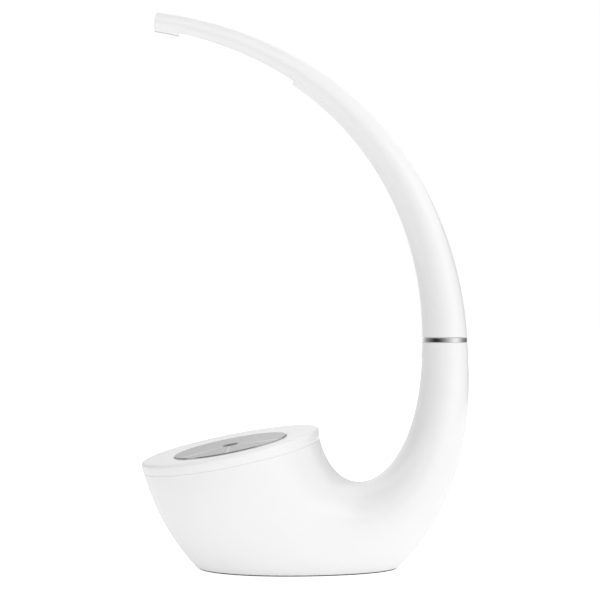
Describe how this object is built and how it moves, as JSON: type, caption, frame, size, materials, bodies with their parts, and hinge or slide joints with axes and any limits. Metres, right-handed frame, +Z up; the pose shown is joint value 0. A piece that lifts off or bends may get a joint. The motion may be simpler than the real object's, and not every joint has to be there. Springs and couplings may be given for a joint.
{
  "type": "desk lamp",
  "caption": "Horn-shaped desk lamp: weighted bowl with a tilted dimmer dial, and a slim curved arm that swivels on the neck and carries a strip light.",
  "frame": {"origin": "middle of the foot's face on the table", "axes": "+Z up; +X from the bowl towards the neck; the mid-plane is Y = 0"},
  "size_m": [0.2346, 0.1292, 0.3991],
  "materials": {
    "white_shell": "satin moulded white",
    "inner_moulding": "moulded grey",
    "cover_moulding": "fine texture",
    "part_body": "moulded",
    "inlet_black": "moulded",
    "steel": "plated",
    "rotor_brass": "turned",
    "foot_rubber": "matt",
    "ballast_iron": "as cast",
    "board_green": "lacquered",
    "light_board_white": "lacquered",
    "diode": "clear potting",
    "strip_aluminium": "mill",
    "dial_aluminium": "spun",
    "cap_dark": "satin",
    "bush_moulding": "natural",
    "ring_chrome": "polished",
    "opal": "opal",
    "lead_black": "satin"
  },
  "bodies": {
    "base": {"base_shell_front": "white_shell", "base_shell_back": "white_shell", "joining_blocks": "inner_moulding", "bottom_cover": "cover_moulding", "cover_screws": "steel", "foot_pad": "foot_rubber", "ballast": "ballast_iron", "ballast_bolts": "steel", "driver_board": "board_green", "driver_parts": "part_body", "board_screws": "steel", "inlet_socket": "inlet_black", "inlet_nut": "steel", "inlet_lead": "lead_black", "top_ring": "white_shell", "deck_plate": "inner_moulding", "deck_screws": "steel", "dial_board": "board_green", "dial_board_screws": "steel", "encoder_body": "part_body", "encoder_nut": "steel", "press_contact": "foot_rubber", "dial_lead": "lead_black", "neck_bush": "bush_moulding", "bright_ring": "ring_chrome", "neck_lead": "lead_black"},
    "rotor": {"encoder_rotor": "rotor_brass"},
    "dial": {"encoder_shaft": "steel", "dial_hub": "inner_moulding", "dial_disc": "dial_aluminium", "dial_cap": "cap_dark"},
    "arm": {"spindle": "steel", "spindle_washer": "steel", "spindle_nut": "steel", "stop_pin": "steel", "arm_plug": "inner_moulding", "arm_shell_front": "white_shell", "arm_shell_back": "white_shell", "heat_strip": "strip_aluminium", "light_board": "light_board_white", "light_diodes": "diode", "opal_cover": "opal", "tip_cap": "white_shell", "arm_lead": "lead_black"}
  },
  "joints": [
    {"name": "arm_swivel", "type": "hinge", "parent": "base", "child": "arm", "pos_m": [0.1055, 0, 0.1655], "axis": [0, 0, 1], "range_deg": [-90, 90]},
    {"name": "dial_turn", "type": "hinge", "parent": "base", "child": "rotor", "pos_m": [-0.0473, 0, 0.0815], "axis": [-0.1874, 0, 0.9823], "continuous": true},
    {"name": "dial_press", "type": "slide", "parent": "rotor", "child": "dial", "axis": [-0.1874, 0, 0.9823], "range_m": [-0.0006, 0], "stiffness_N_per_m": 4000, "springref_m": 0.0006}
  ]
}
